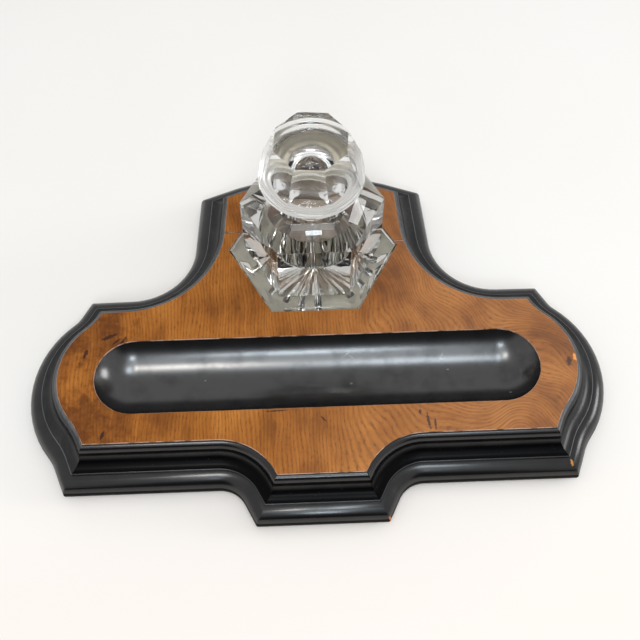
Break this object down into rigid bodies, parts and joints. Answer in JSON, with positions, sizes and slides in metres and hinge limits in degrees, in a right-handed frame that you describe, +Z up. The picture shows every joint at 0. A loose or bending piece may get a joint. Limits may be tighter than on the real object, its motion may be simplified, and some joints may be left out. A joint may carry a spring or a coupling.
{
  "type": "desk inkstand",
  "caption": "Desk inkstand: shaped ebonised base with ogee moulding and walnut veneered top, a sunk pen tray, and a hexagonal cut glass inkwell whose faceted stopper lifts out.",
  "frame": {"origin": "under the middle of the stand's box, on the surface that it rests on", "axes": "+X to the right along the pen tray, +Y from the front to the rear, +Z up"},
  "size_m": [0.3196, 0.2247, 0.1235],
  "materials": {
    "ebonised_wood": "satin black stain and polish",
    "walnut_veneer": "polished",
    "core_pine": "plain sawn",
    "cut_glass": "cut and polished",
    "baize": "woven wool",
    "brass": "dull"
  },
  "bodies": {
    "stand": {"base_board_front": "ebonised_wood", "base_board_rear": "ebonised_wood", "core_board": "core_pine", "moulding_front": "ebonised_wood", "moulding_front_right": "ebonised_wood", "moulding_right": "ebonised_wood", "moulding_rear_right": "ebonised_wood", "moulding_rear": "ebonised_wood", "moulding_rear_left": "ebonised_wood", "moulding_left": "ebonised_wood", "moulding_front_left": "ebonised_wood", "veneer_front": "walnut_veneer", "veneer_rear": "walnut_veneer", "pen_tray": "ebonised_wood", "baize_lining": "baize", "wood_screws": "brass"},
    "inkwell": {"inkwell": "cut_glass"},
    "stopper": {"stopper": "cut_glass"}
  },
  "joints": [
    {"name": "inkwell_lift", "type": "slide", "parent": "stand", "child": "inkwell", "axis": [0, 0, 1], "range_m": [0, 0.04]},
    {"name": "stopper_lift", "type": "slide", "parent": "inkwell", "child": "stopper", "axis": [0, 0, 1], "range_m": [0, 0.045]}
  ]
}
